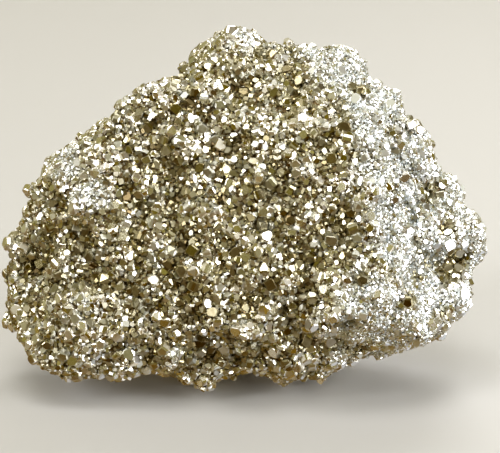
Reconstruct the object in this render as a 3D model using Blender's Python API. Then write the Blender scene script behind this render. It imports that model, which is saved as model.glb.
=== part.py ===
"""A pyrite specimen: one chunk of massive pyrite whose surface is a crust of small crystals.

Metres, +Z up. The viewer's side, with the best crystals, is -Y. The origin is on the flat spot that the
specimen rests on.
"""

import math
import random

import bmesh
import bpy
from mathutils import Matrix, Quaternion, Vector, noise

MM = 0.001
NODE_NAME = "pyrite_specimen"

# The chunk is described in its own upright frame, in millimetres: U to the right, V up and W to the viewer.
# It leans back from the viewer by this angle, and rests on its underside.
LEAN = math.radians(14.0)
RESTING_HEIGHT = 31.6
RESTING_POINT_DEPTH = 6.0

# The outline that the viewer sees, clockwise from the peak, as (U, V) from the middle of the chunk.
OUTLINE = (
    (-2.0, 40.3), (2.4, 39.6), (7.1, 37.8), (16.7, 38.2), (22.2, 36.5), (24.7, 33.3),
    (27.1, 29.2), (29.8, 27.9), (33.3, 22.8), (37.5, 20.3), (39.9, 13.4), (45.0, 8.7),
    (46.0, 6.5), (45.2, 4.3), (48.3, 1.4), (50.6, -1.6), (50.3, -4.6), (46.3, -12.0),
    (45.8, -14.9), (41.5, -22.0), (38.4, -27.2), (34.5, -26.7), (29.0, -28.6), (21.8, -29.6),
    (14.3, -30.9), (9.6, -32.9), (0.4, -31.4), (-7.1, -32.5), (-15.5, -30.0), (-23.7, -31.2),
    (-33.3, -31.4), (-38.8, -30.2), (-46.5, -25.2), (-49.6, -18.9), (-50.4, -11.8), (-49.4, -3.1),
    (-45.6, 2.7), (-43.1, 7.3), (-38.0, 13.9), (-33.5, 16.9), (-27.8, 23.3), (-18.5, 29.6),
    (-14.3, 30.4), (-9.5, 35.5), (-6.1, 38.0),
)
# The ground lies inside that outline, because the crystals stand proud of it and the near side looks larger.
OUTLINE_INSET = 2.4

# The broken faces that bound the chunk in front and behind: a direction (U, V, W) and how far out it lies.
BROKEN_FACES = (
    ((-0.10, 0.06, 1.00), 20.0),
    ((0.62, 0.12, 0.78), 33.5),
    ((0.05, 0.57, 0.82), 27.0),
    ((-0.52, 0.10, 0.86), 31.0),
    ((0.05, -0.72, 0.69), 29.0),
    ((0.10, -0.08, -1.00), 27.0),
    ((-0.64, 0.12, -0.76), 36.0),
    ((0.70, -0.05, -0.72), 37.0),
    ((-0.05, 0.66, -0.75), 34.0),
    ((-0.42, -0.76, -0.50), 37.0),
    ((0.46, -0.76, -0.46), 40.0),
)
# How sharply those faces meet: the higher, the sharper.
EDGE_SHARPNESS = 30

# Hollows and swellings of the viewer's side, as (U, V, radius, rise), read from left to right.
FRONT_RELIEF = (
    (-42.0, -9.0, 3.6, -3.6), (-34.0, -23.0, 4.5, -2.2), (-33.0, 12.0, 6.0, 2.0),
    (-30.0, -18.5, 5.0, 2.2), (-28.0, 3.5, 5.0, 1.6), (-35.0, -28.5, 5.0, 1.6),
    (-21.5, 18.5, 3.6, -2.0), (-17.0, 10.0, 6.0, 1.2), (-14.0, -6.0, 7.0, 1.0),
    (-10.0, 24.5, 3.4, -2.2), (-6.0, -24.5, 3.4, -3.8), (-8.0, -30.0, 4.5, 1.6),
    (-2.0, 27.0, 3.4, -2.4), (-1.0, 37.0, 5.0, 1.4), (3.5, -5.5, 6.5, 2.0),
    (5.0, 14.0, 6.0, 1.4), (8.6, 25.8, 3.4, -2.2), (9.6, -18.5, 3.6, -2.0),
    (7.5, -28.5, 6.0, 1.8), (15.0, 19.0, 5.0, 1.4), (20.5, 0.5, 4.6, -3.0),
    (21.0, 33.0, 5.5, 2.0), (23.0, -13.5, 6.5, 2.6), (24.0, -26.0, 4.0, -3.2),
    (24.5, 26.5, 2.8, -1.8), (28.0, 14.0, 6.0, 1.4), (32.0, -18.5, 6.5, 2.2),
    (33.5, -26.0, 3.6, -2.6), (37.0, 5.0, 4.0, -2.8), (38.0, -8.0, 4.5, -3.4),
    (43.0, -13.5, 4.0, 1.8), (44.5, 0.0, 5.5, 2.6),
)
RELIEF_FADE = (-2.0, 2.0)

# The viewer's side runs from here to here in W, and the crust of large crystals on it ends to the right in U.
FRONT_FADE = (-12.0, 2.0)
CRUST_FADE = (38.0, 24.0)

# Ledges where the chunk broke off, behind and at the sides: how long, how far in or out, and how high a step is.
LEDGE_LENGTH = 19.0
LEDGE_RISE = 6.0
LEDGE_STEP = 1.7

# Uneven ground all round, as (wavelength, height) of each layer of noise.
GROUND_NOISE = ((17.0, 1.8), (7.5, 1.1))

# The ground is a ball of facets, spread by about half the chunk's width, height and depth. The corners between
# the facets shift sideways by up to a share of the ball's radius, and in or out by up to a height.
GROUND_ROUNDS = 5
HALF_SIZES = Vector((50.0, 36.0, 28.0))
FACET_SHIFT = 0.022
FACET_HEIGHT = 0.6
GROUND_TRIANGLES_KEPT = 0.78

# The grains are small cubic crystals that stand corner outwards: a share of the ground's facets in front, with
# the middle raised by a share of the way from there to the facet's corners, as on a cube's corner.
GRAIN_SHARE = 0.24
GRAIN_RISE = 0.7

# The larger crystals, with the gap between them in the crust and elsewhere, and a share of their width sunk in
# the ground. Each stands with one of its faces outwards, tilted by up to an angle.
CRYSTAL_COUNT = 104
CRYSTAL_SPACING = (4.6, 18.0)
CRYSTAL_WIDTH = (2.8, 4.3)
CRYSTAL_SUNK = 0.14
CRYSTAL_TILT = math.radians(32.0)
CRYSTAL_KINDS = ((0.66, "pyritohedron"), (0.20, "cube"), (0.14, "octahedron"))
# The kinds' proportions, in half widths: the roof over a pyritohedron's cube, half a cube, half an octahedron.
PYRITOHEDRON_ROOF = 0.5
CUBE_HALF = 0.75
OCTAHEDRON_HALF = 1.2
SEED = 29

FLOOR_SIDE = 200.0
FLOOR_DEPTH = 20.0

PYRITE_COLOUR = (0.62, 0.53, 0.30, 1.0)
PYRITE_ROUGHNESS = 0.3

SIGNS = (-1, 1)
TINY = 1e-6


def clear_scene():
    for obj in list(bpy.data.objects):
        bpy.data.objects.remove(obj)


def collection(name):
    made = bpy.data.collections.new(name)
    bpy.context.scene.collection.children.link(made)
    return made


def fade(value, limits):
    """From 0 at the first limit to 1 at the second."""
    start, end = limits
    return min(1.0, max(0.0, (value - start) / (end - start)))


def in_front(point):
    """How much a place belongs to the viewer's side."""
    return fade(point.z, FRONT_FADE)


def in_crust(point):
    """How much a place belongs to the crust of large crystals: the left and middle of the viewer's side."""
    return in_front(point) * fade(point.x, CRUST_FADE)


def outline_reach(angle):
    """How far the outline lies from the middle in that direction of the U-V plane."""
    across = Vector((math.cos(angle), math.sin(angle)))
    for start, end in zip(OUTLINE, OUTLINE[1:] + OUTLINE[:1]):
        start, end = Vector(start), Vector(end)
        along = end - start
        crossing = across.cross(along)
        if abs(crossing) < TINY:
            continue
        reach = start.cross(along) / crossing
        share = start.cross(across) / crossing
        if reach > 0 and 0 <= share <= 1:
            return reach - OUTLINE_INSET
    raise ValueError("the outline doesn't go round the middle")


def bounded_reach(direction):
    """How far the chunk reaches in a direction: the nearest of its outline and its broken faces, blended."""
    flat = math.hypot(direction.x, direction.y)
    nearness = 0.0
    if flat > TINY:
        reach = outline_reach(math.atan2(direction.y, direction.x)) / flat
        nearness += reach ** -EDGE_SHARPNESS
    for normal, distance in BROKEN_FACES:
        facing = Vector(normal).normalized().dot(direction)
        if facing > TINY:
            nearness += (distance / facing) ** -EDGE_SHARPNESS
    return nearness ** (-1 / EDGE_SHARPNESS)


def front_relief(point):
    """The rise of the viewer's side at a point, fading out round the edge."""
    rise = 0.0
    for u, v, radius, height in FRONT_RELIEF:
        off = ((point.x - u) ** 2 + (point.y - v) ** 2) / radius ** 2
        rise += height * math.exp(-off)
    return rise * fade(point.z, RELIEF_FADE)


def ledges(point):
    """The rise of the ledges at a point, in whole steps."""
    rise = LEDGE_RISE * noise.noise(point / LEDGE_LENGTH)
    return round(rise / LEDGE_STEP) * LEDGE_STEP * (1.0 - in_front(point))


def ground_noise(point):
    return sum(height * noise.noise(point / wavelength) for wavelength, height in GROUND_NOISE)


def chunk_mesh():
    """The chunk with its relief and grains, in its upright frame, in millimetres."""
    made = bmesh.new()
    bmesh.ops.create_icosphere(made, subdivisions=GROUND_ROUNDS, radius=1.0)
    chance = random.Random(SEED)
    for vertex in made.verts:
        shift = Vector([chance.uniform(-FACET_SHIFT, FACET_SHIFT) for _ in range(3)])
        direction = ((vertex.co + shift) * HALF_SIZES).normalized()
        point = direction * bounded_reach(direction)
        rise = front_relief(point) + ledges(point) + ground_noise(point)
        vertex.co = point + direction * (rise + chance.uniform(-FACET_HEIGHT, FACET_HEIGHT))
    grains = [
        face
        for face in made.faces
        if chance.random() < GRAIN_SHARE * in_front(face.calc_center_median())
    ]
    bmesh.ops.poke(made, faces=grains, offset=GRAIN_RISE, use_relative_offset=True)
    made.normal_update()
    return made


def pyritohedron_corners():
    """Eight corners of a cube and the ends of the roof over each of its faces."""
    corners = [Vector((x, y, z)) for x in SIGNS for y in SIGNS for z in SIGNS]
    high, wide = 1 + PYRITOHEDRON_ROOF, 1 - PYRITOHEDRON_ROOF ** 2
    for turn in range(3):
        for a in SIGNS:
            for b in SIGNS:
                end = (0, a * high, b * wide)
                corners.append(Vector(end[-turn:] + end[:-turn]))
    return [corner / high for corner in corners]


def cube_corners():
    return [Vector((x, y, z)) * CUBE_HALF for x in SIGNS for y in SIGNS for z in SIGNS]


def octahedron_corners():
    return [axis * sign * OCTAHEDRON_HALF for axis in Matrix.Identity(3) for sign in SIGNS]


# The corners of each kind of crystal, and the direction that one of its faces looks in.
CRYSTALS = {
    "pyritohedron": (pyritohedron_corners(), Vector((1, 2, 0))),
    "cube": (cube_corners(), Vector((0, 0, 1))),
    "octahedron": (octahedron_corners(), Vector((1, 1, 1))),
}


def pick_kind(draw):
    for share, kind in CRYSTAL_KINDS:
        draw -= share
        if draw <= 0:
            return kind
    return CRYSTAL_KINDS[0][1]


def crystal_sites(ground, chance):
    """Places for crystals on the ground, as (point, normal) pairs."""
    close, wide = CRYSTAL_SPACING
    sites = []
    order = list(ground.verts)
    chance.shuffle(order)
    for vertex in order:
        if len(sites) == CRYSTAL_COUNT:
            break
        spacing = wide + (close - wide) * in_crust(vertex.co)
        if all((vertex.co - point).length > spacing for point, _ in sites):
            sites.append((vertex.co.copy(), vertex.normal.copy()))
    return sites


def random_direction(chance):
    return Vector([chance.gauss(0, 1) for _ in range(3)]).normalized()


def crystals_mesh(ground):
    """All the larger crystals, each turned its own way."""
    chance = random.Random(SEED)
    made = bmesh.new()
    for point, normal in crystal_sites(ground, chance):
        corners, face = CRYSTALS[pick_kind(chance.random())]
        width = chance.uniform(*CRYSTAL_WIDTH)
        outwards = face.rotation_difference(normal)
        spin = Quaternion(normal, chance.uniform(0, math.tau))
        tilt = Quaternion(random_direction(chance), chance.uniform(0, CRYSTAL_TILT))
        turned = (tilt @ spin @ outwards).to_matrix()
        middle = point - normal * width * CRYSTAL_SUNK
        placed = [made.verts.new(middle + turned @ corner * (width / 2)) for corner in corners]
        bmesh.ops.convex_hull(made, input=placed)
    bmesh.ops.dissolve_limit(
        made, angle_limit=math.radians(0.5), verts=made.verts, edges=made.edges
    )
    bmesh.ops.recalc_face_normals(made, faces=made.faces)
    return made


def stand_up():
    """From the upright frame in millimetres to where the chunk rests, in metres."""
    axes = Matrix(((1, 0, 0), (0, 0, -1), (0, 1, 0))).to_4x4()
    lean = Matrix.Rotation(-LEAN, 4, "X")
    rest = Matrix.Translation((0, -RESTING_POINT_DEPTH, RESTING_HEIGHT))
    return Matrix.Scale(MM, 4) @ rest @ lean @ axes


def make_object(name, mesh, home):
    data = bpy.data.meshes.new(name)
    mesh.to_mesh(data)
    obj = bpy.data.objects.new(name, data)
    home.objects.link(obj)
    return obj


def make_cutter(name, mesh, home):
    cutter = make_object(name, mesh, home)
    cutter.hide_render = True
    cutter.display_type = "WIRE"
    return cutter


def floor_mesh():
    """A slab whose top is the plane that the specimen rests on."""
    made = bmesh.new()
    size = Matrix.Diagonal((FLOOR_SIDE, FLOOR_SIDE, FLOOR_DEPTH, 1))
    below = Matrix.Translation((0, 0, -FLOOR_DEPTH / 2))
    bmesh.ops.create_cube(made, size=1, matrix=Matrix.Scale(MM, 4) @ below @ size)
    return made


def thin_out(obj):
    """Leaves out the triangles that the shape needs least."""
    modifier = obj.modifiers.new("thin_out", "DECIMATE")
    modifier.ratio = GROUND_TRIANGLES_KEPT


def boolean(obj, operation, other):
    modifier = obj.modifiers.new(other.name, "BOOLEAN")
    modifier.operation = operation
    modifier.object = other
    modifier.solver = "EXACT"
    modifier.use_self = operation == "UNION"


def pyrite_material():
    material = bpy.data.materials.new("pyrite")
    material.use_nodes = True
    shader = material.node_tree.nodes["Principled BSDF"]
    shader.inputs["Base Color"].default_value = PYRITE_COLOUR
    shader.inputs["Metallic"].default_value = 1.0
    shader.inputs["Roughness"].default_value = PYRITE_ROUGHNESS
    return material


def main():
    clear_scene()
    home = collection(NODE_NAME)
    cutters = collection("cutters")
    ground = chunk_mesh()
    crystals = crystals_mesh(ground)
    for mesh in (ground, crystals):
        mesh.transform(stand_up())
    specimen = make_object(NODE_NAME, ground, home)
    thin_out(specimen)
    boolean(specimen, "UNION", make_cutter("crystals", crystals, cutters))
    boolean(specimen, "DIFFERENCE", make_cutter("floor", floor_mesh(), cutters))
    specimen.data.materials.append(pyrite_material())


main()
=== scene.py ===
"""The looks of the pyrite specimen: a crust of small metallic crystals over the chunk.

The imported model's frame is in metres, +Z up. The chunk leans back from the viewer, so places on it are
given in its own upright frame, in millimetres from its middle: U to the right, V up and W towards the
viewer. The sizes of crystals are in millimetres too, and those of the stage in metres.
"""

import itertools
import math

import bmesh
import bpy
import numpy as np
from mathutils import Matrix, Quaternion, Vector, kdtree, noise
from mathutils.bvhtree import BVHTree

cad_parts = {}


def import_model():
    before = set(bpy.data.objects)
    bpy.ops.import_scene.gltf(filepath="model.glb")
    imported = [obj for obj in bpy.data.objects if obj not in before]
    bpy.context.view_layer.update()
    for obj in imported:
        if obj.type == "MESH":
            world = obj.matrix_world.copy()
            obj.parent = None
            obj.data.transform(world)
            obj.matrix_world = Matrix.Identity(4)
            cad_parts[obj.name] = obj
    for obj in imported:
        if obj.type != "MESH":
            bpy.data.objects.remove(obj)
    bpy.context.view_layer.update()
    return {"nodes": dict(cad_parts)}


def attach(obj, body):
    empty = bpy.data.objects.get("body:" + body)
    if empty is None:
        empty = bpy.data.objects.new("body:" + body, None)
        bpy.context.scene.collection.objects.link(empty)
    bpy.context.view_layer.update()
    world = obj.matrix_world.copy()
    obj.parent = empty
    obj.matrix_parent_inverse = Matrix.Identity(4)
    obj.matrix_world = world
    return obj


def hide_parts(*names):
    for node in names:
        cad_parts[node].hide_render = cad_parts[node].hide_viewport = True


MM = 0.001
NODE_NAME = "pyrite_specimen"
BODY = "root"
# The random draws start from this, so every run places the same crystals.
SEED = 43

# How the chunk stands: it leans back by this angle, and its middle is this far in front and this high.
LEAN = math.radians(14.0)
MIDDLE = np.array((0.0, -6.0, 31.6))
# A place in W well before the chunk.
OUTSIDE = 100

# The massive pyrite under the crust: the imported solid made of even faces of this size, smoothed in so many
# rounds and a little smaller. Its normals are smoothed too. Under this height its flat face stays flat.
GROUND_VOXEL = 0.9
GROUND_SMOOTHING = 4
GROUND_INSET = 0.5
NORMAL_SMOOTHING = 3
RESTING_BAND = 0.5
# Its lumps, as (wavelength, height): everywhere, in the silvery part, and in rows. The rows run down to the
# right by this angle, and the lumps in them are this much longer than wide.
GROUND_LUMPS = ((5.2, 0.75), (2.3, 0.5))
SILVER_LUMPS = ((7.0, 1.1), (3.4, 0.8))
ROWS = ((3.6, 0.8),)
ROWS_TURN = math.radians(-38.0)
ROWS_STRETCH = 3.0
# Lumps and pits at places of their own, as (U, V, radius, rise), and how squarely the ground has to face the
# viewer, for none of the rise and for all of it.
LUMPS_AND_PITS = (
    (46.1, -1.8, 3.6, 0.9), (42.9, -13.5, 2.4, 0.9), (42.7, -8.2, 2.8, -1.3), (39.6, -0.2, 2.2, -1.2),
    (38.6, 6.5, 2.6, -1.0), (22.0, 2.6, 3.2, 1.7), (23.5, -25.1, 2.6, -1.2), (34.1, 19.6, 2.0, -0.9),
    (-41.4, -8.2, 2.4, -1.6), (-6.7, -25.9, 2.4, -0.8), (-2.0, -23.5, 4.5, 1.1),
)
LUMPS_FACING = (0.0, 0.4)
# Hollows and swellings are told apart by relaxing the ground, as (rounds, weight): small ones and wide ones.
RELAXING = ((14, 1.0), (90, 0.3))

# The ridge that parts the crust of large crystals from the fine silvery one on its right, as (V, U)
# upwards, from where to where beside it the crust changes, how it wanders, as (wavelength, height), and
# from where to where in W the silvery crust begins, coming from the far side.
RIDGE = (
    (-28.0, 22.0), (-21.4, 16.7), (-13.3, 17.8), (-7.1, 25.9),
    (5.1, 25.9), (15.3, 24.9), (25.5, 17.8), (36.7, 11.6),
)
RIDGE_FADE = (-5.0, 2.0)
RIDGE_WANDER = ((9.0, 3.0), (3.5, 3.4))
FAR_FADE = (-22.0, -12.0)
# Everywhere in the silvery crust there are brassy places too, where layers of noise rise past these limits.
BRASSY_PLACES = ((5.0, 1.0), (2.2, 0.6))
BRASSY_FADE = (0.34, 0.70)
# Patches of silvery crust on both sides of the ridge, as (U, V, radius), and how silvery they are, then the
# olive places in the silvery crust, most of them on its pits, where their darker colour is painted shade. All
# of them have soft edges, in radii, that are ragged by noise.
SILVER_PATCHES = (
    (-34.3, 13.3, 4.6), (-29.2, 6.1, 3.4), (-0.6, 37.8, 2.6), (22.5, -14.0, 5.0), (28.0, -20.0, 5.0),
    (25.0, 14.0, 4.5), (44.5, 3.0, 3.0),
)
PATCH_SILVER = 0.85
OLIVE_PATCHES = (
    (39.6, -0.2, 2.6), (42.7, -8.2, 3.4), (31.2, -14.5, 1.7), (23.5, -25.1, 3.0), (23.5, -1.0, 1.6),
    (23.1, 26.1, 1.6), (34.1, 19.6, 2.2), (38.6, 6.5, 3.0),
)
PATCH_FADE = (0.6, 1.2)
PATCH_RAGGEDNESS = ((4.0, 0.7), (1.8, 0.5))

# The sizes of crystals in each part of the crust, as (candidates per square millimetre, least width, greatest
# width), largest first.
CRUST_SIZES = {
    "coarse": ((0.14, 1.9, 3.0), (0.60, 1.15, 1.9), (9.0, 0.62, 1.15)),
    "fine": ((0.030, 1.8, 2.6), (0.14, 1.0, 1.6), (20.0, 0.38, 0.74)),
    "far": ((0.025, 1.9, 2.8), (0.14, 1.2, 1.8), (5.0, 0.85, 1.35)),
}
# On the viewer's side the crust is the fine one where it is more silvery than this.
FINE_SHARE = 0.5
# Crystals stand no nearer than this share of their half widths added together.
PACKING = 0.62
# The least widths of large and of medium crystals.
LARGE_WIDTH, MEDIUM_WIDTH = 1.8, 1.1
# To keep the pieces small, the small crystals of the viewer's side are parted here, the brassy ones in U and
# the silvery ones in V. On the far side, the top and the underside look up or down by more than this.
LEFT_END = -10.0
UPPER_START = 0.0
LOOKING_UP = 0.5

# Crystals that stand out one by one, as (U, V, width, tone, and how far the outer face looks right and up).
# The pale ones, turned right and a little up, have a tone near 1 that is partly a painted highlight.
SINGLE_CRYSTALS = (
    (-4.9, -6.7, 2.3, 1.00, 0.50, 0.10), (-6.9, -14.9, 2.2, 1.00, 0.50, 0.10),
    (-12.7, -20.6, 1.9, 1.00, 0.50, 0.10), (-9.4, 8.8, 2.3, 1.00, 0.50, 0.10),
    (-7.0, 8.8, 2.2, 0.95, 0.42, 0.12), (-2.0, 12.4, 2.3, 0.95, 0.45, 0.10),
    (40.0, -4.1, 3.0, 1.00, 0.45, 0.10), (42.9, -13.5, 3.2, 1.00, 0.50, 0.10),
    (-4.5, 15.1, 2.7, 0.92, 0.30, 0.20), (11.4, 20.2, 2.6, 0.92, 0.32, 0.20),
    (-16.6, -17.5, 2.4, 0.90, 0.28, 0.15), (-14.5, 14.3, 2.9, 0.42, -0.20, -0.10),
    (-8.2, 11.0, 2.3, 0.22, 0.05, -0.15), (19.4, 18.8, 2.7, 0.25, 0.00, -0.20),
    (22.5, -10.2, 3.0, 0.22, 0.05, -0.20), (-11.6, -8.4, 2.8, 0.22, 0.00, -0.20),
    (-1.4, -5.1, 2.5, 0.22, 0.05, -0.15), (5.3, -11.1, 2.6, 0.20, 0.00, -0.20),
    (-8.2, -22.7, 2.4, 0.20, 0.05, -0.20), (31.2, -14.5, 2.6, 0.36, 0.00, -0.25),
    (23.1, 26.1, 2.8, 0.32, -0.05, -0.20), (34.1, 18.4, 2.6, 1.00, 0.50, 0.10),
)

# The flat faces that pyrite grows. A form is a list of them, with how far out each lies, in half widths.
FACES = {"cube": (0, 0, 1), "octahedron": (1, 1, 1), "pyritohedron": (0, 1, 2)}
FORMS = (
    (("pyritohedron", 0.88), ("octahedron", 1.02)),
    (("pyritohedron", 0.88), ("cube", 0.92)),
    (("octahedron", 0.80), ("cube", 0.90)),
    (("octahedron", 0.86), ("pyritohedron", 0.92)),
    (("cube", 0.76), ("octahedron", 1.06)),
)
SMALL_FORMS = (
    (("pyritohedron", 0.88),),
    (("octahedron", 0.76),),
    (("cube", 0.78),),
)
# Each grade of crystal: its forms, by what factor its outer face lies nearer, how far that is tilted at most,
# by what share the crystal is stretched at most, and whether its edges are bevelled.
GRADES = {
    "single": (FORMS, 0.75, 0.0, 0.10, True),
    "large": (FORMS, 0.82, math.radians(34.0), 0.12, True),
    "medium": (FORMS, 0.82, math.radians(38.0), 0.25, False),
    "small": (SMALL_FORMS, 1.0, math.radians(38.0), 0.50, False),
}
# Each grade has so many shapes, whose faces grow unevenly by up to this share. Counted in half widths, a
# crystal ends this far under its middle, and a bevel cuts this deep.
VARIANTS = 30
UNEVEN_GROWTH = 0.13
FOOT_DEPTH = 0.30
BEVEL = 0.075
# In these shapes corners are the same to so many decimals, and lie behind or on a plane within these lengths.
# The odd direction, in which no crystal face looks, tells which way is across each of them.
SAME_CORNER = 4
TINY = 1e-4
ON_PLANE = 10 * TINY
ODD_DIRECTION = (0.31, 0.52, 0.79)
# How far a crystal's middle stands over the ground, in half widths, and how much that and its lean vary. In
# the silvery crust they lean less, by this share, and the single crystals stand higher.
STAND = -0.05
STAND_SPREAD = 0.22
LEAN_SPREAD = 0.25
SILVER_ORDER = 0.3
SINGLE_STAND = 0.25

# Tone runs from 0, dark bronze, to 1, silvery white. These say how much it varies from crystal to crystal,
# from face to face, in patches, as (wavelength, height), and between hollows and swellings, up to limits in
# millimetres: darker in hollows as painted shade and paler on swellings as painted light. Then how much paler
# the larger and the silvery crystals are, and how much it rises with each millimetre up, as painted light
# from above.
TONE_MIDDLE = 0.45
TONE_OF_CRYSTAL = 0.17
TONE_OF_FACE = 0.07
TONE_PATCHES = ((20.0, 0.04), (8.0, 0.12), (3.6, 0.26))
PAINTED_HOLLOW_SHADE = 0.26
HOLLOW_LIMITS = (-1.2, 1.5)
TONE_OF_LARGE = 0.09
TONE_OF_SILVER = 0.40
PAINTED_LIGHT_UPWARDS = 0.0003
# In the silvery crust the tones differ less from crystal to crystal and face to face, by this share.
SILVER_EVENNESS = 0.35
# This share of the crystals in the silvery crust is brassy, and this share of all crystals is silvery, by at
# least this much.
BRASSY_SHARE = 0.18
SILVERY_SHARE, SILVERY = 0.25, 0.6
# How rough the faces are, from the most to the least polished, how much duller those of the silvery crust
# are, and how rough the massive pyrite is.
ROUGHNESS = (0.12, 0.40)
SILVER_DULLNESS = 0.7
GROUND_ROUGHNESS = 0.5

# The colours of crystal faces and of the massive pyrite under them, from dark to pale. The massive pyrite's
# are darker, as painted shade where it shows between the crystals.
BRASS = (
    (0.00, (0.20, 0.150, 0.078)),
    (0.22, (0.33, 0.284, 0.165)),
    (0.42, (0.49, 0.460, 0.322)),
    (0.62, (0.69, 0.670, 0.568)),
    (0.80, (0.86, 0.838, 0.785)),
    (1.00, (0.96, 0.948, 0.930)),
)
SILVER = (
    (0.00, (0.17, 0.135, 0.065)),
    (0.30, (0.38, 0.370, 0.285)),
    (0.55, (0.62, 0.655, 0.680)),
    (0.80, (0.85, 0.890, 0.930)),
    (1.00, (0.94, 0.975, 1.000)),
)
BRASS_GROUND = ((0.35, (0.05, 0.030, 0.014)), (0.55, (0.16, 0.112, 0.050)), (0.75, (0.36, 0.300, 0.160)))
SILVER_GROUND = ((0.35, (0.10, 0.092, 0.070)), (0.55, (0.28, 0.275, 0.245)), (0.75, (0.58, 0.582, 0.560)))
# Fine unevenness, as noise of (scale to the metre, detail). Tarnish changes the tone by up to this much, as
# the noise runs between its limits. Grain is a bump, as (height in metres, strength).
TARNISH_NOISE, TARNISH_LIMITS, TARNISH = (1400.0, 3.0), (0.3, 0.7), 0.08
GRAIN_NOISE, GRAIN_BUMP = (5200.0, 2.0), (0.00004, 0.25)
GROUND_NOISE, GROUND_BUMP = (1500.0, 4.0), (0.0002, 0.6)
# The margin round each crystal face in its square of the bake map, as a share of the square.
BAKE_MARGIN = 0.12

# The stage: a round floor whose edge curves up into a wall. The crystals don't mirror it.
FLOOR_RADIUS = 2.2
COVE_RADIUS = 0.8
WALL_HEIGHT = 2.4
COVE_STEPS = 12
STAGE_SIDES = 96
FLOOR_COLOUR = (0.57, 0.57, 0.57, 1.0)
WALL_COLOUR = (0.70, 0.70, 0.70, 1.0)
WALL_GLOW = 0.3
STAGE_ROUGHNESS = 0.55
# They mirror a dim dome instead, with soft brown, olive and cream parts, by noise of (scale, detail) on the
# direction. Below the horizon it is browner, and these are the heights at which that begins and is whole.
DOME = (
    (0.37, (0.078, 0.036, 0.000)), (0.48, (0.204, 0.148, 0.000)),
    (0.57, (0.378, 0.338, 0.085)), (0.66, (0.720, 0.685, 0.575)),
)
DOME_BELOW = (
    (0.39, (0.054, 0.020, 0.000)), (0.50, (0.190, 0.098, 0.001)),
    (0.59, (0.370, 0.256, 0.042)), (0.67, (0.900, 0.860, 0.740)),
)
DOME_NOISE, DOME_NOISE_BELOW = (2.2, 1.0), (4.5, 1.0)
HORIZON = (0.05, -0.35)
# The dome has a bright part low on the right: where it is, the cosines at which it begins and is whole, and
# its colour.
GLOW_TOWARDS = (0.65, 0.0, -0.76)
GLOW_EDGE = (0.84, 0.98)
GLOW_COLOUR = (0.76, 0.77, 0.78)
# Soft lamps, as (name, place, size in metres, power in watts, colour), all turned to the specimen.
LAMPS = (
    ("window_right", (1.84, -0.80, 0.46), (1.10, 1.32), 43.0, (1.0, 1.0, 1.0)),
    ("softbox_top", (-0.18, -0.53, 2.22), (1.34, 0.98), 21.0, (1.0, 0.98, 0.96)),
    ("softbox_left", (-1.76, -1.23, 1.21), (0.70, 1.06), 22.0, (1.0, 0.98, 0.96)),
    ("softbox_back", (0.53, 1.92, 1.58), (1.06, 1.06), 20.0, (1.0, 0.98, 0.96)),
)
# The camera aims at this (U, V, W) from this far off in W. Its lens is in millimetres, as lenses are, and the
# nearest that it sees in metres.
CAMERA_AIM = (1.43, -0.3, 0.0)
CAMERA_DISTANCE = 300.0
CAMERA_LENS = 105.8
CAMERA_NEAREST = 0.01


def upright(points):
    """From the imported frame, in metres, to the chunk's upright frame, in millimetres."""
    x, y, z = (np.asarray(points) / MM - MIDDLE).T
    sine, cosine = math.sin(LEAN), math.cos(LEAN)
    return np.stack((x, y * sine + z * cosine, z * sine - y * cosine), axis=1)


def upright_directions(directions):
    """The same directions, seen in the chunk's upright frame."""
    return upright((directions + MIDDLE) * MM)


def packed(u, v, w):
    """From the chunk's upright frame, in millimetres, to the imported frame, in metres."""
    sine, cosine = math.sin(LEAN), math.cos(LEAN)
    return Vector(((u, v * sine - w * cosine, v * cosine + w * sine) + MIDDLE) * MM)


def unit(vectors):
    """The same directions, each 1 long."""
    return vectors / np.linalg.norm(vectors, axis=-1, keepdims=True)


def fade(values, limits):
    """From 0 at the first limit to 1 at the second."""
    share = np.clip((values - limits[0]) / (limits[1] - limits[0]), 0.0, 1.0)
    return share * share * (3 - 2 * share)


def layered_noise(points, layers):
    """Layers of noise at points in millimetres, each layer a (wavelength, height)."""
    return np.array(
        [sum(height * noise.noise(Vector(point) / wide) for wide, height in layers) for point in points]
    )


def chosen(sites, which):
    """These of the sites, which are columns by name."""
    return {name: column[which] for name, column in sites.items()}


def right_of_ridge(places):
    """How far each place lies to the right of the ridge, in millimetres."""
    heights, across = np.array(RIDGE).T
    return places[:, 0] - np.interp(places[:, 1], heights, across)


def patches(places, spots):
    """How far each place is inside any of these spots, from 0 to 1, with ragged edges."""
    ragged = layered_noise(places, PATCH_RAGGEDNESS)
    share = np.zeros(len(places))
    for u, v, radius in spots:
        off = np.hypot(places[:, 0] - u, places[:, 1] - v) / radius
        share = np.maximum(share, 1 - fade(off + ragged, PATCH_FADE))
    return share


def silver_share(places):
    """How silvery the crust is at each place.

    It is silvery right of the ridge, brassy places apart, and in patches, but not in its olive places, and
    nowhere on the far side.
    """
    beyond = right_of_ridge(places) + layered_noise(places, RIDGE_WANDER)
    share = fade(beyond, RIDGE_FADE) * (1 - fade(layered_noise(places, BRASSY_PLACES), BRASSY_FADE))
    share = np.maximum(share, PATCH_SILVER * patches(places, SILVER_PATCHES))
    # Painted shade: the olive places on the pits lose their silvery paleness.
    return share * (1 - patches(places, OLIVE_PATCHES)) * fade(places[:, 2], FAR_FADE)


def rows_of_lumps(places):
    """The rise of the rows of lumps."""
    cosine, sine = math.cos(ROWS_TURN), math.sin(ROWS_TURN)
    along = (places[:, 0] * cosine + places[:, 1] * sine) / ROWS_STRETCH
    across = places[:, 1] * cosine - places[:, 0] * sine
    return layered_noise(np.stack((along, across, places[:, 2]), axis=1), ROWS)


def lumps_and_pits(places, facing):
    """The rise of the lumps and pits at places of their own, given how squarely the ground faces us."""
    rise = np.zeros(len(places))
    for u, v, radius, height in LUMPS_AND_PITS:
        off = np.hypot(places[:, 0] - u, places[:, 1] - v) / radius
        rise += height * np.exp(-off**2)
    return rise * fade(facing, LUMPS_FACING)


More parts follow.
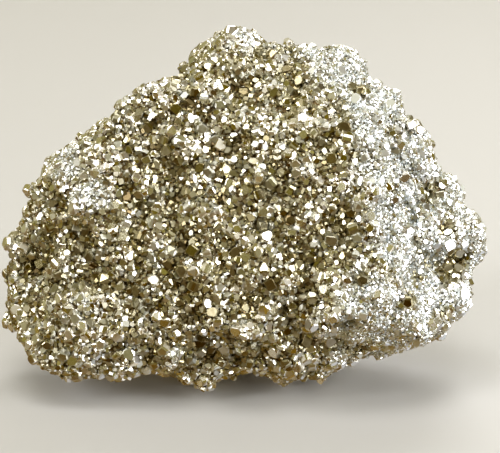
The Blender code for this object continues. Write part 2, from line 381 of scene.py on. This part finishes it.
def relaxed(points, edges, rounds):
    """The points, each moved to the middle of its neighbours, over and over."""
    start, end = edges.T
    count = len(points)
    neighbours = np.bincount(edges.ravel(), minlength=count)
    for _ in range(rounds):
        sums = [
            np.bincount(start, axis[end], count) + np.bincount(end, axis[start], count)
            for axis in points.T
        ]
        points = np.stack(sums, axis=1) / neighbours[:, None]
    return points


def read(items, name, width=3, kind=np.float32):
    """One property of all these parts of a mesh, a row for each."""
    values = np.empty(len(items) * width, kind)
    items.foreach_get(name, values)
    return values.reshape(-1, width)


def smoothed_copy(node):
    """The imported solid's mesh, made of even small faces and smoothed."""
    copy = bpy.data.objects.new("ground", node.data.copy())
    bpy.context.scene.collection.objects.link(copy)
    remesh = copy.modifiers.new("remesh", "REMESH")
    remesh.mode = "VOXEL"
    remesh.voxel_size = GROUND_VOXEL * MM
    smooth = copy.modifiers.new("smooth", "SMOOTH")
    smooth.iterations = GROUND_SMOOTHING
    bpy.context.view_layer.update()
    graph = bpy.context.evaluated_depsgraph_get()
    mesh = bpy.data.meshes.new_from_object(copy.evaluated_get(graph))
    bpy.data.objects.remove(copy)
    mesh.materials.clear()
    return mesh


class Ground:
    """The surface that the crystals grow on, in millimetres, with its normals, hollows and silvery parts."""

    def __init__(self, node):
        mesh = smoothed_copy(node)
        points = read(mesh.vertices, "co").astype(float) / MM
        normals = read(mesh.vertices, "normal").astype(float)
        edges = read(mesh.edges, "vertices", 2, np.int32)
        places = upright(points * MM)
        resting = points[:, 2] < RESTING_BAND
        self.silver = silver_share(places)
        lift = layered_noise(points, GROUND_LUMPS) + rows_of_lumps(places) - GROUND_INSET
        lift += self.silver * layered_noise(points, SILVER_LUMPS)
        lift += lumps_and_pits(places, upright_directions(normals)[:, 2])
        points = points + normals * lift[:, None]
        self.hollow = sum(
            weight * ((relaxed(points, edges, rounds) - points) * normals).sum(axis=1)
            for rounds, weight in RELAXING
        )
        points[resting, 2] = 0.0
        points[:, 2] = np.maximum(points[:, 2], 0.0)
        mesh.vertices.foreach_set("co", (points * MM).ravel())
        mesh.attributes.new("silver", "FLOAT", "POINT").data.foreach_set("value", self.silver)
        mesh.update()
        mesh.calc_loop_triangles()
        self.mesh = mesh
        self.points = points
        normals = read(mesh.vertices, "normal").astype(float)
        self.normals = unit(relaxed(normals, edges, NORMAL_SMOOTHING))
        self.triangles = read(mesh.loop_triangles, "vertices", 3, np.int32)

    def scatter(self, density, chance):
        """Random places on the ground, so many to the square millimetre."""
        corners = self.points[self.triangles]
        areas = np.linalg.norm(
            np.cross(corners[:, 1] - corners[:, 0], corners[:, 2] - corners[:, 0]), axis=1
        ) / 2
        count = int(density * areas.sum())
        picked = chance.choice(len(areas), count, p=areas / areas.sum())
        first, second = chance.random((2, count))
        over = first + second > 1
        first[over], second[over] = 1 - first[over], 1 - second[over]
        shares = np.stack((1 - first - second, first, second), axis=1)
        own = self.triangles[picked]
        return {
            "point": (self.points[own] * shares[..., None]).sum(axis=1),
            "normal": unit((self.normals[own] * shares[..., None]).sum(axis=1)),
            "hollow": (self.hollow[own] * shares).sum(axis=1),
            "silver": (self.silver[own] * shares).sum(axis=1),
        }


def regions_of(sites):
    """The name of the part of the crust for each site: coarse or fine on the viewer's side, or far."""
    names = np.where(sites["silver"] > FINE_SHARE, "fine", "coarse")
    return np.where(upright_directions(sites["normal"])[:, 2] < 0, "far", names)


def settle(points, radii):
    """Which of the candidates find room, the widest first."""
    tree = kdtree.KDTree(len(points))
    for index, point in enumerate(points):
        tree.insert(point, index)
    tree.balance()
    free = np.ones(len(points), bool)
    kept = []
    for index in np.argsort(-radii):
        if not free[index]:
            continue
        kept.append(index)
        for _, other, gap in tree.find_range(points[index], 2 * PACKING * radii[index]):
            if gap < PACKING * (radii[index] + radii[other]):
                free[other] = False
    return np.array(kept)


def crystal_sites(ground, singles, chance):
    """Where the crystals stand, leaving room for the single ones."""
    found = []
    for region, sizes in CRUST_SIZES.items():
        for density, least, greatest in sizes:
            sites = ground.scatter(density, chance)
            sites["region"] = regions_of(sites)
            sites["width"] = least * (greatest / least) ** chance.random(len(sites["point"]))
            found.append(chosen(sites, sites["region"] == region))
    sites = {name: np.concatenate([part[name] for part in found]) for name in found[0]}
    for point, width in zip(singles["point"], singles["width"]):
        gaps = np.linalg.norm(sites["point"] - point, axis=1)
        sites = chosen(sites, gaps > PACKING * (width + sites["width"]) / 2)
    return chosen(sites, settle(sites["point"], sites["width"] / 2))


def family(direction):
    """All the faces like this one, by turning its axes in order and by every sign."""
    signed = {
        tuple(np.roll(direction, turn) * signs)
        for turn in range(3)
        for signs in itertools.product((-1, 1), repeat=3)
    }
    return unit(np.array(sorted(signed), float))


def meeting_corners(normals, reaches):
    """The corners of the body that lies behind all these planes."""
    picks = np.array(list(itertools.combinations(range(len(normals)), 3)))
    matrices = normals[picks]
    picks = picks[np.abs(np.linalg.det(matrices)) > TINY]
    points = np.linalg.solve(normals[picks], reaches[picks][..., None])[..., 0]
    inside = (points @ normals.T <= reaches + TINY).all(axis=1)
    return np.unique(np.round(points[inside], SAME_CORNER), axis=0)


def bevelled(normals, reaches, corners):
    """The planes, with one more across each edge where two of them meet."""
    touching = np.abs(corners @ normals.T - reaches) < ON_PLANE
    extra = []
    for first, second in itertools.combinations(range(len(normals)), 2):
        if (touching[:, first] & touching[:, second]).sum() > 1:
            extra.append(normals[first] + normals[second])
    extra = unit(np.array(extra))
    extra_reaches = (corners @ extra.T).max(axis=0) - BEVEL
    return np.concatenate((normals, extra)), np.concatenate((reaches, extra_reaches))


def hull_triangles(corners):
    """The triangles of the convex body with these corners, facing out."""
    made = bmesh.new()
    for corner in corners:
        made.verts.new(corner)
    made.verts.index_update()
    bmesh.ops.convex_hull(made, input=made.verts)
    triangles = np.array([[vertex.index for vertex in face.verts] for face in made.faces])
    made.free()
    first, second, third = corners[triangles].transpose(1, 0, 2)
    normals = np.cross(second - first, third - first)
    inwards = (normals * first).sum(axis=1) < 0
    triangles[inwards] = triangles[inwards][:, ::-1]
    normals[inwards] *= -1
    return triangles, unit(normals)


def flat_places(corners, triangles, faces, normals):
    """Where each triangle's corners lie on its crystal face, from 0 to 1 both ways."""
    places = np.zeros((len(triangles), 3, 2))
    for face in np.unique(faces):
        own = faces == face
        across = unit(np.cross(normals[face], ODD_DIRECTION))
        up = np.cross(normals[face], across)
        laid = corners[triangles[own]] @ np.stack((across, up), axis=1)
        low, high = laid.min(axis=(0, 1)), laid.max(axis=(0, 1))
        places[own] = (laid - low) / (high - low)
    return places


class Crystal:
    """One shape of crystal, about 1 in half width, with a face of it towards +Z."""

    def __init__(self, grade, chance):
        forms, nearness, tilt_limit, stretch_limit, bevels = GRADES[grade]
        form = forms[chance.integers(len(forms))]
        normals = np.concatenate([family(FACES[name]) for name, _ in form])
        reaches = np.concatenate([np.full(len(family(FACES[name])), reach) for name, reach in form])
        reaches = reaches * chance.uniform(1 - UNEVEN_GROWTH, 1 + UNEVEN_GROWTH, len(reaches))
        reaches[0] *= nearness
        outwards = Vector(normals[0]).rotation_difference(Vector((0, 0, 1)))
        level = Vector((*chance.normal(size=2), 0)).normalized()
        tilt = Quaternion(level, chance.uniform(0, 1) * tilt_limit)
        normals = normals @ np.array((tilt @ outwards).to_matrix()).T
        normals = np.concatenate((normals, ((0, 0, -1),)))
        reaches = np.append(reaches, FOOT_DEPTH)
        corners = meeting_corners(normals, reaches)
        if bevels:
            normals, reaches = bevelled(normals, reaches, corners)
            corners = meeting_corners(normals, reaches)
        self.triangles, facing = hull_triangles(corners)
        used, self.faces = np.unique((facing @ normals.T).argmax(axis=1), return_inverse=True)
        self.face_count = len(used)
        self.places = flat_places(corners, self.triangles, self.faces, normals[used])
        stretch = 1 + chance.uniform(0, 1) * stretch_limit
        self.corners = corners * (stretch, 1 / stretch, 1.0)


def standing_frames(outwards, chance):
    """A frame for each crystal, spun at random, with its third axis outwards."""
    across = unit(np.cross(chance.normal(size=outwards.shape), outwards))
    return np.stack((across, np.cross(outwards, across), outwards), axis=2)


def crystal_tones(sites, chance):
    """How pale each crystal is."""
    spread = TONE_OF_CRYSTAL * (1 - SILVER_EVENNESS * sites["silver"])
    tones = TONE_MIDDLE + spread * chance.normal(size=len(sites["point"]))
    tones += layered_noise(sites["point"], TONE_PATCHES)
    # Painted light: the tone grows paler towards the top and darker towards the bottom.
    tones += PAINTED_LIGHT_UPWARDS * upright(sites["point"] * MM)[:, 1]
    tones += TONE_OF_LARGE * (sites["width"] > MEDIUM_WIDTH)
    # Painted shade in the hollows and painted light on the swellings.
    tones -= PAINTED_HOLLOW_SHADE * np.clip(sites["hollow"], *HOLLOW_LIMITS)
    return tones + TONE_OF_SILVER * sites["silver"]


def standing(sites, chance):
    """The sites, with how each crystal stands, how pale it is and how silvery."""
    count = len(sites["point"])
    silver, normals = sites["silver"], sites["normal"]
    spread = LEAN_SPREAD * (1 - SILVER_ORDER * silver)
    outwards = unit(normals + spread[:, None] * chance.normal(size=normals.shape))
    height = (STAND + STAND_SPREAD * chance.normal(size=count)) * sites["width"] / 2
    silvery = silver * (chance.random(count) > BRASSY_SHARE)
    silvery = np.maximum(silvery, SILVERY * (chance.random(count) < SILVERY_SHARE))
    return sites | {
        "frame": standing_frames(outwards, chance),
        "middle": sites["point"] + normals * height[:, None],
        "tone": crystal_tones(sites, chance),
        "silver": silvery,
    }


def single_sites(ground, chance):
    """The crystals that stand out one by one, each on the ground that we see at its place."""
    tree = BVHTree.FromPolygons(ground.points.tolist(), ground.triangles.tolist())
    middle = packed(0, 0, 0)
    points, outwards = [], []
    for u, v, _, _, right, up in SINGLE_CRYSTALS:
        start = packed(u, v, OUTSIDE) / MM
        points.append(tree.ray_cast(start, packed(0, 0, -1) - middle)[0])
        outwards.append((packed(right, up, math.sqrt(1 - right**2 - up**2)) - middle) / MM)
    points, outwards = np.array(points), np.array(outwards)
    _, _, widths, tones, _, _ = np.array(SINGLE_CRYSTALS).T
    return {
        "point": points,
        "width": widths,
        "frame": standing_frames(unit(outwards), chance),
        "middle": points + unit(outwards) * (SINGLE_STAND * widths / 2)[:, None],
        # The pale tones of these single crystals are partly a painted highlight.
        "tone": tones,
        "silver": silver_share(upright(points * MM)),
    }


def grow(shapes, sites, chance):
    """The mesh columns of all the crystals at these sites, each with one of the shapes."""
    picks = chance.integers(len(shapes), size=len(sites["point"]))
    made, offset, cells = [], 0, 0
    for number, shape in enumerate(shapes):
        own = chosen(sites, picks == number)
        count = len(own["point"])
        if not count:
            continue
        turned = np.einsum("kij,nj->kni", own["frame"], shape.corners)
        corners = own["middle"][:, None] + turned * (own["width"] / 2)[:, None, None]
        # A crystal that would reach below the floor is lifted onto it.
        corners[..., 2] += np.maximum(-corners[..., 2].min(axis=1), 0)[:, None]
        size = len(shape.corners)
        firsts = offset + size * np.arange(count)
        triangles = firsts[:, None, None] + shape.triangles
        spread = TONE_OF_FACE * (1 - SILVER_EVENNESS * own["silver"][:, None])
        tones = own["tone"][:, None] + spread * chance.normal(size=(count, shape.face_count))
        dull = chance.random((count, shape.face_count))
        dull = dull + SILVER_DULLNESS * own["silver"][:, None] * (1 - dull)
        cell = cells + shape.face_count * np.arange(count)[:, None] + shape.faces
        made.append((
            corners.reshape(-1, 3),
            triangles.reshape(-1, 3),
            tones[:, shape.faces].ravel(),
            dull[:, shape.faces].ravel(),
            np.repeat(own["silver"], len(shape.triangles)),
            cell.ravel(),
            np.broadcast_to(shape.places, (count, *shape.places.shape)).reshape(-1, 3, 2),
        ))
        offset += size * count
        cells += shape.face_count * count
    return [np.concatenate(column) for column in zip(*made)], cells


def bake_map(mesh, cells, count, places):
    """A map with a square for each crystal face, so that a texture keeps them apart."""
    side = math.ceil(math.sqrt(count))
    squares = np.stack((cells % side, cells // side), axis=1)[:, None, :]
    spread = (squares + BAKE_MARGIN + places * (1 - 2 * BAKE_MARGIN)) / side
    layer = mesh.uv_layers.new(name="OFBake")
    layer.uv.foreach_set("vector", spread.astype(np.float32).ravel())


def crust_piece(name, shapes, sites, material, chance):
    """One joined mesh of many closed crystals."""
    (points, triangles, tones, dull, silver, cells, places), count = grow(shapes, sites, chance)
    mesh = bpy.data.meshes.new(name)
    mesh.vertices.add(len(points))
    mesh.vertices.foreach_set("co", (points * MM).astype(np.float32).ravel())
    mesh.loops.add(triangles.size)
    mesh.loops.foreach_set("vertex_index", triangles.astype(np.int32).ravel())
    mesh.polygons.add(len(triangles))
    mesh.polygons.foreach_set("loop_start", np.arange(0, triangles.size, 3, dtype=np.int32))
    mesh.update(calc_edges=True)
    mesh.shade_flat()
    for layer, values in (("tone", tones), ("dull", dull), ("silver", silver)):
        attribute = mesh.attributes.new(layer, "FLOAT", "FACE")
        attribute.data.foreach_set("value", values.astype(np.float32))
    bake_map(mesh, cells, count, places)
    mesh.materials.append(material)
    piece = bpy.data.objects.new(name, mesh)
    bpy.context.scene.collection.objects.link(piece)
    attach(piece, BODY)
    print(name, len(sites["point"]), "crystals", len(triangles), "triangles")


class Nodes:
    """A short way to write a material's or a world's nodes."""

    # The sockets of a mix node that are for colours: two that go in, and the one that comes out.
    MIX_FIRST, MIX_SECOND, MIX_RESULT = "6", "7", 2

    def __init__(self, owner):
        owner.use_nodes = True
        self.tree = owner.node_tree

    def add(self, kind, settings=(), **inputs):
        """A new node with these settings and inputs, whose names have _ for a space."""
        node = self.tree.nodes.new("ShaderNode" + kind)
        for name, value in dict(settings).items():
            setattr(node, name, value)
        for name, value in inputs.items():
            self.put(node, name.replace("_", " "), value)
        return node

    def put(self, node, name, value):
        """Gives an input, by its name or number, a value or another node's output."""
        socket = node.inputs[int(name) if name.isdigit() else name]
        if isinstance(value, bpy.types.NodeSocket):
            self.tree.links.new(value, socket)
        else:
            socket.default_value = value

    def attribute(self, name):
        return self.add("Attribute", {"attribute_name": name}).outputs["Fac"]

    def noise_at(self, place, scale, detail):
        return self.add("TexNoise", Vector=place, Scale=scale, Detail=detail).outputs["Fac"]

    def moved(self, value, limits=(0.0, 1.0), results=(0.0, 1.0)):
        """The value, moved evenly from between the limits to between the results."""
        node = self.add("MapRange", Value=value, From_Min=limits[0], From_Max=limits[1])
        self.put(node, "To Min", results[0])
        self.put(node, "To Max", results[1])
        return node.outputs["Result"]

    def bump(self, height, distance, strength):
        return self.add("Bump", Height=height, Distance=distance, Strength=strength).outputs["Normal"]

    def mix(self, share, first, second):
        """The first colour, and this share of the second in it."""
        node = self.add("Mix", {"data_type": "RGBA"}, Factor=share)
        self.put(node, self.MIX_FIRST, first)
        self.put(node, self.MIX_SECOND, second)
        return node.outputs[self.MIX_RESULT]

    def ramp(self, stops, value):
        """The colour for the value, by a row of (position, colour) stops."""
        node = self.add("ValToRGB")
        elements = node.color_ramp.elements
        while len(elements) < len(stops):
            elements.new(1.0)
        for element, (position, colour) in zip(elements, stops):
            element.position = position
            element.color = (*colour, 1.0)
        self.put(node, "Fac", value)
        return node.outputs["Color"]

    def brass_or_silver(self, brass, silver, value):
        """The colour by two ramps, mixed by how silvery the place is."""
        return self.mix(self.attribute("silver"), self.ramp(brass, value), self.ramp(silver, value))


def crust_material():
    """The crystals' metal, by the tone, dullness and silvery share that each face has."""
    material = bpy.data.materials.new("pyrite_crystals")
    nodes = Nodes(material)
    shader = nodes.tree.nodes["Principled BSDF"]
    place = nodes.add("TexCoord").outputs["Object"]
    tarnish = nodes.noise_at(place, *TARNISH_NOISE)
    total = nodes.add("Math", {"operation": "ADD"})
    nodes.put(total, "0", nodes.attribute("tone"))
    nodes.put(total, "1", nodes.moved(tarnish, TARNISH_LIMITS, (-TARNISH, TARNISH)))
    nodes.put(shader, "Base Color", nodes.brass_or_silver(BRASS, SILVER, total.outputs["Value"]))
    nodes.put(shader, "Metallic", 1.0)
    nodes.put(shader, "Roughness", nodes.moved(nodes.attribute("dull"), results=ROUGHNESS))
    nodes.put(shader, "Normal", nodes.bump(nodes.noise_at(place, *GRAIN_NOISE), *GRAIN_BUMP))
    return material


def ground_material():
    """The massive pyrite's metal, rougher than the crystals' and darker, as painted shade between them."""
    material = bpy.data.materials.new("massive_pyrite")
    nodes = Nodes(material)
    shader = nodes.tree.nodes["Principled BSDF"]
    place = nodes.add("TexCoord").outputs["Object"]
    grain = nodes.noise_at(place, *GROUND_NOISE)
    # Painted shade: the massive pyrite is darker than the crystals where it shows between them.
    nodes.put(shader, "Base Color", nodes.brass_or_silver(BRASS_GROUND, SILVER_GROUND, grain))
    nodes.put(shader, "Metallic", 1.0)
    nodes.put(shader, "Roughness", GROUND_ROUGHNESS)
    nodes.put(shader, "Normal", nodes.bump(grain, *GROUND_BUMP))
    return material


def crust_parts(sites):
    """The pieces of the crust: each one's name, which sites it takes and their grade."""
    width, region = sites["width"], sites["region"]
    large, small = width >= LARGE_WIDTH, width < MEDIUM_WIDTH
    coarse, fine, far = (region == name for name in ("coarse", "fine", "far"))
    place = upright(sites["point"] * MM)
    left, upper = place[:, 0] < LEFT_END, place[:, 1] > UPPER_START
    upwards = upright_directions(sites["normal"])[:, 1]
    over, under = upwards > LOOKING_UP, upwards < -LOOKING_UP
    return (
        ("crust_front_large", coarse & large, "large"),
        ("crust_front_medium", coarse & ~large & ~small, "medium"),
        ("crust_front_left_small", coarse & small & left, "small"),
        ("crust_front_middle_small", coarse & small & ~left, "small"),
        ("crust_silvery_large", fine & large, "large"),
        ("crust_silvery_medium", fine & ~large & ~small, "medium"),
        ("crust_silvery_upper_small", fine & small & upper, "small"),
        ("crust_silvery_lower_small", fine & small & ~upper, "small"),
        ("crust_far_large", far & large, "large"),
        ("crust_top", far & ~large & over, "small"),
        ("crust_underside", far & ~large & under, "small"),
        ("crust_back", far & ~large & ~over & ~under, "small"),
    )


def crust(node):
    """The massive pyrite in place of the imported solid, and all the crystals on it."""
    chance = np.random.default_rng(SEED)
    ground = Ground(node)
    core = bpy.data.objects.new("massive_pyrite", ground.mesh)
    bpy.context.scene.collection.objects.link(core)
    core.data.materials.append(ground_material())
    core.data.shade_smooth()
    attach(core, BODY)
    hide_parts(NODE_NAME)
    singles = single_sites(ground, chance)
    sites = standing(crystal_sites(ground, singles, chance), chance)
    shapes = {grade: [Crystal(grade, chance) for _ in range(VARIANTS)] for grade in GRADES}
    material = crust_material()
    crust_piece("crust_single_crystals", shapes["single"], singles, material, chance)
    for name, which, grade in crust_parts(sites):
        crust_piece(name, shapes[grade], chosen(sites, which), material, chance)


def stage_piece(name, made, colour, glow):
    """Something that the specimen stands on or before, which may glow a little to stay pale."""
    mesh = bpy.data.meshes.new(name)
    made.to_mesh(mesh)
    made.free()
    mesh.shade_smooth()
    piece = bpy.data.objects.new(name, mesh)
    bpy.context.scene.collection.objects.link(piece)
    material = bpy.data.materials.new(name)
    nodes = Nodes(material)
    shader = nodes.tree.nodes["Principled BSDF"]
    nodes.put(shader, "Base Color", colour)
    nodes.put(shader, "Roughness", STAGE_ROUGHNESS)
    nodes.put(shader, "Emission Color", colour)
    nodes.put(shader, "Emission Strength", glow)
    mesh.materials.append(material)
    piece.visible_glossy = False


def stage():
    """A pale floor and the pale wall round it."""
    made = bmesh.new()
    bmesh.ops.create_circle(made, cap_ends=True, segments=STAGE_SIDES, radius=FLOOR_RADIUS)
    stage_piece("floor", made, FLOOR_COLOUR, 0.0)
    made = bmesh.new()
    profile = [
        (FLOOR_RADIUS + COVE_RADIUS * math.sin(turn), COVE_RADIUS * (1 - math.cos(turn)))
        for turn in np.linspace(0, math.pi / 2, COVE_STEPS)
    ]
    profile.append((FLOOR_RADIUS + COVE_RADIUS, WALL_HEIGHT))
    line = [made.verts.new((across, 0, up)) for across, up in profile]
    edges = [made.edges.new(pair) for pair in zip(line, line[1:])]
    bmesh.ops.spin(
        made, geom=line + edges, cent=(0, 0, 0), axis=(0, 0, 1),
        angle=math.tau, steps=STAGE_SIDES, use_merge=True,
    )
    stage_piece("backdrop", made, WALL_COLOUR, WALL_GLOW)


def lamps():
    """Soft lamps, turned to the specimen."""
    for name, place, (width, height), power, colour in LAMPS:
        light = bpy.data.lights.new(name, "AREA")
        light.shape = "RECTANGLE"
        light.size, light.size_y = width, height
        light.energy = power
        light.color = colour
        lamp = bpy.data.objects.new(name, light)
        lamp.location = place
        towards = packed(0, 0, 0) - lamp.location
        lamp.rotation_euler = towards.to_track_quat("-Z", "Y").to_euler()
        lamp.visible_camera = False
        bpy.context.scene.collection.objects.link(lamp)


def world():
    """The dome that the crystals mirror."""
    made = bpy.data.worlds.new("studio")
    nodes = Nodes(made)
    direction = nodes.add("TexCoord").outputs["Generated"]
    over = nodes.ramp(DOME, nodes.noise_at(direction, *DOME_NOISE))
    under = nodes.ramp(DOME_BELOW, nodes.noise_at(direction, *DOME_NOISE_BELOW))
    height = nodes.add("SeparateXYZ", Vector=direction).outputs["Z"]
    dome = nodes.mix(nodes.moved(height, HORIZON), over, under)
    nearness = nodes.add("VectorMath", {"operation": "DOT_PRODUCT"})
    nodes.put(nearness, "0", direction)
    nodes.put(nearness, "1", GLOW_TOWARDS)
    glow = nodes.moved(nearness.outputs["Value"], GLOW_EDGE)
    nodes.put(nodes.tree.nodes["Background"], "Color", nodes.mix(glow, dome, (*GLOW_COLOUR, 1.0)))
    bpy.context.scene.world = made


def camera():
    """The view, straight at the chunk's leaning front, with colours shown as they are."""
    data = bpy.data.cameras.new("camera")
    data.lens = CAMERA_LENS
    data.clip_start = CAMERA_NEAREST
    eye = bpy.data.objects.new("camera", data)
    u, v, w = CAMERA_AIM
    eye.location = packed(u, v, w + CAMERA_DISTANCE)
    towards = packed(u, v, w) - eye.location
    eye.rotation_euler = towards.to_track_quat("-Z", "Y").to_euler()
    bpy.context.scene.collection.objects.link(eye)
    bpy.context.scene.camera = eye
    bpy.context.scene.view_settings.view_transform = "Standard"


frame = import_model()
crust(frame["nodes"][NODE_NAME])
stage()
lamps()
world()
camera()
